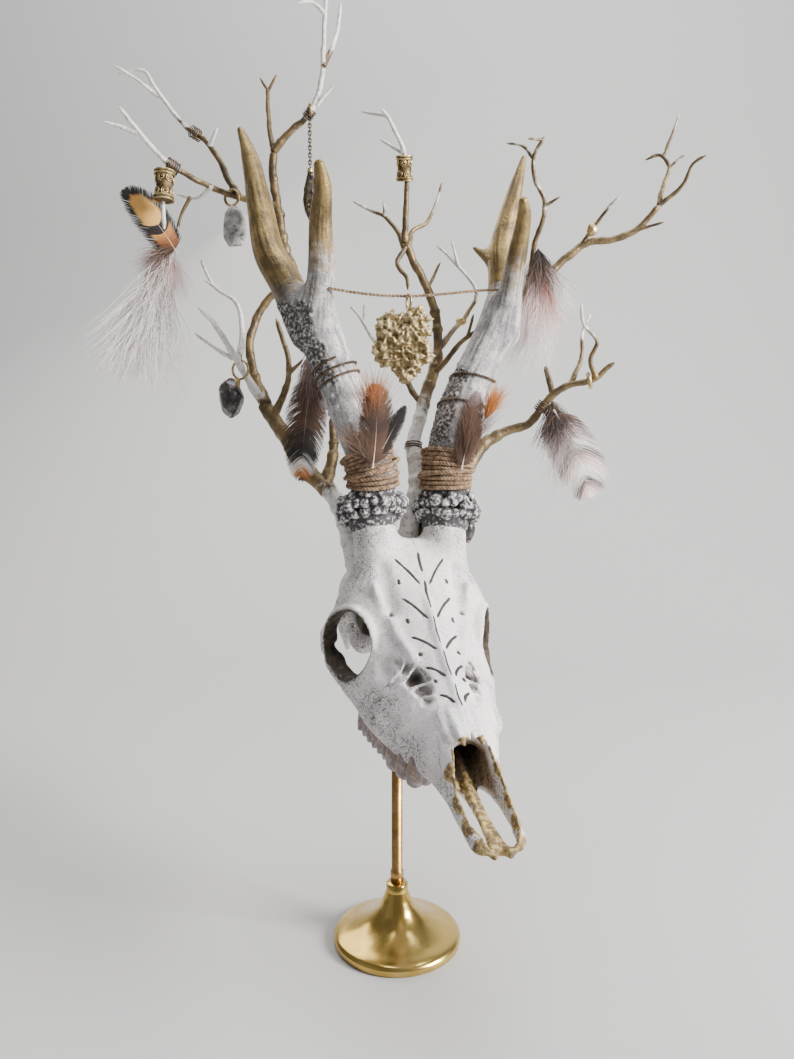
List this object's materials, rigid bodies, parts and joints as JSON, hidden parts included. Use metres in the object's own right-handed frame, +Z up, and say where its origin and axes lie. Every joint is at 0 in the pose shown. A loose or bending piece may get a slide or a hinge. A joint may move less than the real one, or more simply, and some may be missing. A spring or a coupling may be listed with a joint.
{
  "type": "decorated roe deer skull on a stand",
  "caption": "Roe deer skull with forked antlers, dressed with painted branches, twine, feathers and small charms, held level on a slim rod over a round brass foot.",
  "frame": {"origin": "middle of the stand's underside, on the axis of its rod", "axes": "+Z up along the rod, -Y towards the side the nose points to, +X to the animal's left"},
  "size_m": [0.3398, 0.2008, 0.5008],
  "materials": {
    "bone": "dry chalky bone, painted and speckled",
    "antler": "grey-white antler with dark grain, gilded towards the tips",
    "branch": "dry branch rubbed with antique gold, pale tips",
    "twine": "natural jute",
    "gilt": "aged gilt metal",
    "brass": "polished brass",
    "copper": "coppery brushed brass",
    "crystal": "cloudy grey tumbled quartz",
    "stone": "dark polished stone with gilt fittings",
    "plume": "soft brown and pale pink plumage"
  },
  "bodies": {
    "root": {"skull": "bone", "stand_base": "brass", "stand_rod": "copper", "right_antler_beam": "antler", "right_antler_front_tine": "antler", "right_antler_rear_tine": "antler", "left_antler_beam": "antler", "left_antler_front_tine": "antler", "left_antler_rear_tine": "antler", "right_binding": "twine", "left_binding": "twine", "string": "twine", "branch_right_stem": "branch", "branch_right_outer": "branch", "branch_right_rear": "branch", "branch_right_inner": "branch", "branch_tall_stem": "branch", "branch_tall_top": "branch", "branch_high_right": "branch", "branch_high_right_upper": "branch", "branch_middle_stem": "branch", "branch_middle_top": "branch", "branch_middle_right": "branch", "branch_middle_left": "branch", "branch_middle_front": "branch", "branch_middle_rear": "branch", "branch_middle_low": "branch", "branch_left_low": "branch", "branch_left_low_rear": "branch", "branch_left_low_front": "branch", "branch_left_stem": "branch", "branch_left_tip_upper": "branch", "branch_left_tip_lower": "branch", "branch_left_twig": "branch", "branch_left_inner": "branch", "bead_right": "gilt", "bead_middle": "gilt", "bead_small": "gilt", "bead_oval": "gilt", "bead_ring": "gilt", "bead_burr": "stone", "crystal": "crystal", "dark_stone": "stone", "pendant": "gilt", "drop_on_chain": "stone", "feather_right_high": "plume", "feather_right_low": "plume", "feather_right_binding": "plume", "feather_left_binding": "plume", "feather_left_high": "plume", "feather_left_low": "plume"}
  },
  "joints": []
}
